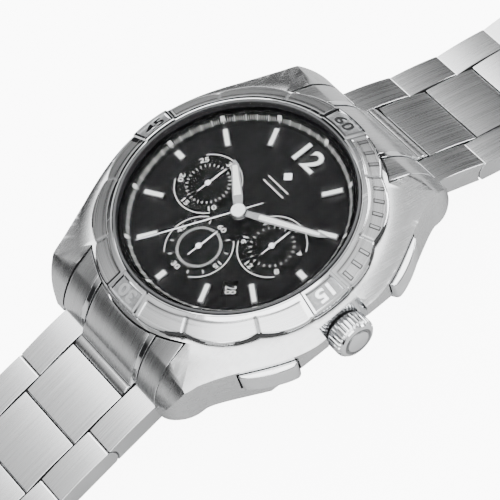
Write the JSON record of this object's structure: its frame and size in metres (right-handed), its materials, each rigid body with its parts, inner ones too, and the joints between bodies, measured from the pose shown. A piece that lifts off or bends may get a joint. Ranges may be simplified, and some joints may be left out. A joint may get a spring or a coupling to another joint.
{
  "type": "chronograph wristwatch",
  "caption": "Steel chronograph wristwatch with rotating bezel, crown, pushers, black sub-dial face and three-link bracelet, open at the folding clasp.",
  "frame": {"origin": "centre of the case back's outer flat face", "axes": "+Z out through the crystal, +X towards the crown at 3 o'clock, +Y towards 12 o'clock along the bracelet"},
  "size_m": [0.047, 0.1695, 0.0255],
  "materials": {
    "brushed_steel": "fine satin brushing with polished bevels",
    "polished_steel": "mirror polished",
    "spring_steel": "drawn and hardened",
    "hand_silver": "silvered, white filling",
    "black_dial": "black twill with white print",
    "crystal_glass": "clear mineral glass",
    "grey_gasket": "satin grey",
    "black_rubber": "matt",
    "movement_brass": "grained and plated",
    "copper_wire": "lacquered copper wire",
    "battery_steel": "bright",
    "holder_polymer": "moulded"
  },
  "bodies": {
    "head": {"case_middle": "brushed_steel", "case_back": "brushed_steel", "case_back_gasket": "black_rubber", "bezel_click_spring": "spring_steel", "crystal": "crystal_glass", "crystal_gasket": "grey_gasket", "rehaut_ring": "black_dial", "dial": "black_dial", "movement_holder": "holder_polymer", "movement_plate": "movement_brass", "train_bridge": "movement_brass", "motor_coil": "copper_wire", "battery": "battery_steel", "crown_tube": "spring_steel", "start_pusher_spring": "spring_steel", "reset_pusher_spring": "spring_steel", "end_link_12": "brushed_steel", "spring_bar_12": "spring_steel", "end_link_6": "brushed_steel", "spring_bar_6": "spring_steel"},
    "bezel": {"bezel": "brushed_steel"},
    "date_ring": {"date_ring": "black_dial"},
    "hour_hand": {"hour_hand": "hand_silver"},
    "minute_hand": {"minute_hand": "hand_silver"},
    "chronograph_seconds_hand": {"chronograph_seconds_hand": "hand_silver"},
    "minute_counter_hand": {"minute_counter_hand": "hand_silver"},
    "small_seconds_hand": {"small_seconds_hand": "hand_silver"},
    "day_hours_hand": {"day_hours_hand": "hand_silver"},
    "setting_lever": {"setting_lever": "spring_steel"},
    "crown_and_stem": {"crown": "polished_steel", "winding_stem": "spring_steel"},
    "start_pusher": {"start_pusher": "polished_steel"},
    "reset_pusher": {"reset_pusher": "polished_steel"},
    "row_12_1": {"link_outer_12_1": "brushed_steel", "link_centre_12_1": "brushed_steel"},
    "row_12_2": {"link_outer_12_2": "brushed_steel", "link_centre_12_2": "brushed_steel"},
    "row_12_3": {"link_outer_12_3": "brushed_steel", "link_centre_12_3": "brushed_steel"},
    "row_12_4": {"link_outer_12_4": "brushed_steel", "link_centre_12_4": "brushed_steel"},
    "row_12_5": {"link_outer_12_5": "brushed_steel", "link_centre_12_5": "brushed_steel"},
    "row_6_1": {"link_outer_6_1": "brushed_steel", "link_centre_6_1": "brushed_steel"},
    "row_6_2": {"link_outer_6_2": "brushed_steel", "link_centre_6_2": "brushed_steel"},
    "row_6_3": {"link_outer_6_3": "brushed_steel", "link_centre_6_3": "brushed_steel"},
    "row_6_4": {"link_outer_6_4": "brushed_steel", "link_centre_6_4": "brushed_steel"},
    "row_6_5": {"link_outer_6_5": "brushed_steel", "link_centre_6_5": "brushed_steel"},
    "clasp_cover": {"clasp_cover": "brushed_steel"},
    "clasp_blade_outer": {"clasp_blade_outer": "polished_steel"},
    "clasp_blade_inner": {"clasp_blade_inner": "polished_steel"},
    "clasp_button_left": {"clasp_button_left": "polished_steel"},
    "clasp_button_right": {"clasp_button_right": "polished_steel"}
  },
  "joints": [
    {"name": "bezel_turn", "type": "hinge", "parent": "head", "child": "bezel", "pos_m": [0, 0, 0.0098], "axis": [0, 0, -1], "continuous": true},
    {"name": "minute_hand_turn", "type": "hinge", "parent": "head", "child": "minute_hand", "pos_m": [0, 0, 0.0103], "axis": [0, 0, -1], "continuous": true},
    {"name": "hour_hand_turn", "type": "hinge", "parent": "head", "child": "hour_hand", "pos_m": [0, 0, 0.01], "axis": [0, 0, -1], "continuous": true},
    {"name": "small_seconds_hand_turn", "type": "hinge", "parent": "head", "child": "small_seconds_hand", "pos_m": [0, -0.00729, 0.0096], "axis": [0, 0, -1], "continuous": true},
    {"name": "day_hours_hand_turn", "type": "hinge", "parent": "head", "child": "day_hours_hand", "pos_m": [0.00729, 0, 0.0096], "axis": [0, 0, -1], "continuous": true},
    {"name": "date_ring_turn", "type": "hinge", "parent": "head", "child": "date_ring", "pos_m": [0, 0, 0.0087], "axis": [0, 0, -1], "continuous": true},
    {"name": "chronograph_seconds_hand_turn", "type": "hinge", "parent": "head", "child": "chronograph_seconds_hand", "pos_m": [0, 0, 0.0106], "axis": [0, 0, -1], "continuous": true},
    {"name": "minute_counter_hand_turn", "type": "hinge", "parent": "head", "child": "minute_counter_hand", "pos_m": [-0.00729, 0, 0.0096], "axis": [0, 0, -1], "continuous": true},
    {"name": "crown_pull", "type": "slide", "parent": "head", "child": "setting_lever", "axis": [1, 0, 0], "range_m": [0, 0.0012]},
    {"name": "crown_turn", "type": "hinge", "parent": "setting_lever", "child": "crown_and_stem", "pos_m": [0.024, 0, 0.0054], "axis": [1, 0, 0], "continuous": true},
    {"name": "start_pusher_press", "type": "slide", "parent": "head", "child": "start_pusher", "axis": [-0.866, -0.5, 0], "range_m": [0, 0.0009], "stiffness_N_per_m": 1500, "springref_m": -0.001},
    {"name": "reset_pusher_press", "type": "slide", "parent": "head", "child": "reset_pusher", "axis": [-0.866, 0.5, 0], "range_m": [0, 0.0009], "stiffness_N_per_m": 1500, "springref_m": -0.001},
    {"name": "bracelet_12_hinge_1", "type": "hinge", "parent": "head", "child": "row_12_1", "pos_m": [0, 0.0261, -0.0008], "axis": [-1, 0, 0], "range_deg": [0, 27]},
    {"name": "bracelet_12_hinge_2", "type": "hinge", "parent": "row_12_1", "child": "row_12_2", "pos_m": [0, 0.03448, -0.00507], "axis": [-1, 0, 0], "range_deg": [0, 33]},
    {"name": "bracelet_12_hinge_3", "type": "hinge", "parent": "row_12_2", "child": "row_12_3", "pos_m": [0, 0.04331, -0.00828], "axis": [-1, 0, 0], "range_deg": [0, 32]},
    {"name": "bracelet_12_hinge_4", "type": "hinge", "parent": "row_12_3", "child": "row_12_4", "pos_m": [0, 0.0525, -0.01024], "axis": [-1, 0, 0], "range_deg": [0, 29]},
    {"name": "bracelet_12_hinge_5", "type": "hinge", "parent": "row_12_4", "child": "row_12_5", "pos_m": [0, 0.06187, -0.01106], "axis": [-1, 0, 0], "range_deg": [0, 27]},
    {"name": "bracelet_6_hinge_1", "type": "hinge", "parent": "head", "child": "row_6_1", "pos_m": [0, -0.0261, -0.0008], "axis": [1, 0, 0], "range_deg": [0, 31]},
    {"name": "bracelet_6_hinge_2", "type": "hinge", "parent": "row_6_1", "child": "row_6_2", "pos_m": [0, -0.03526, -0.00291], "axis": [1, 0, 0], "range_deg": [0, 17]},
    {"name": "bracelet_6_hinge_3", "type": "hinge", "parent": "row_6_2", "child": "row_6_3", "pos_m": [0, -0.04438, -0.00519], "axis": [1, 0, 0], "range_deg": [0, 18]},
    {"name": "bracelet_6_hinge_4", "type": "hinge", "parent": "row_6_3", "child": "row_6_4", "pos_m": [0, -0.05354, -0.0073], "axis": [1, 0, 0], "range_deg": [0, 18]},
    {"name": "bracelet_6_hinge_5", "type": "hinge", "parent": "row_6_4", "child": "row_6_5", "pos_m": [0, -0.0628, -0.00894], "axis": [1, 0, 0], "range_deg": [0, 18]},
    {"name": "clasp_cover_hinge", "type": "hinge", "parent": "row_6_5", "child": "clasp_cover", "pos_m": [0, -0.07216, -0.00975], "axis": [1, 0, 0], "range_deg": [0, 12]},
    {"name": "clasp_outer_blade_hinge", "type": "hinge", "parent": "clasp_cover", "child": "clasp_blade_outer", "pos_m": [0, -0.09393, -0.011], "axis": [-1, 0, 0], "range_deg": [0, 165]},
    {"name": "clasp_inner_blade_hinge", "type": "hinge", "parent": "clasp_blade_outer", "child": "clasp_blade_inner", "pos_m": [0, -0.07709, -0.01116], "axis": [1, 0, 0], "range_deg": [0, 160]},
    {"name": "clasp_button_left_press", "type": "slide", "parent": "clasp_cover", "child": "clasp_button_left", "axis": [1, 0, 0], "range_m": [0, 0.0005], "stiffness_N_per_m": 1500, "springref_m": -0.001},
    {"name": "clasp_button_right_press", "type": "slide", "parent": "clasp_cover", "child": "clasp_button_right", "axis": [-1, 0, 0], "range_m": [0, 0.0005], "stiffness_N_per_m": 1500, "springref_m": -0.001}
  ],
  "couplings": [
    {"joint": "hour_hand_turn", "follows": "minute_hand_turn", "ratio": 0.083333},
    {"joint": "day_hours_hand_turn", "follows": "minute_hand_turn", "ratio": 0.041667},
    {"joint": "date_ring_turn", "follows": "minute_hand_turn", "ratio": 0.0013441},
    {"joint": "small_seconds_hand_turn", "follows": "minute_hand_turn", "ratio": 60},
    {"joint": "minute_counter_hand_turn", "follows": "chronograph_seconds_hand_turn", "ratio": 0.033333}
  ]
}
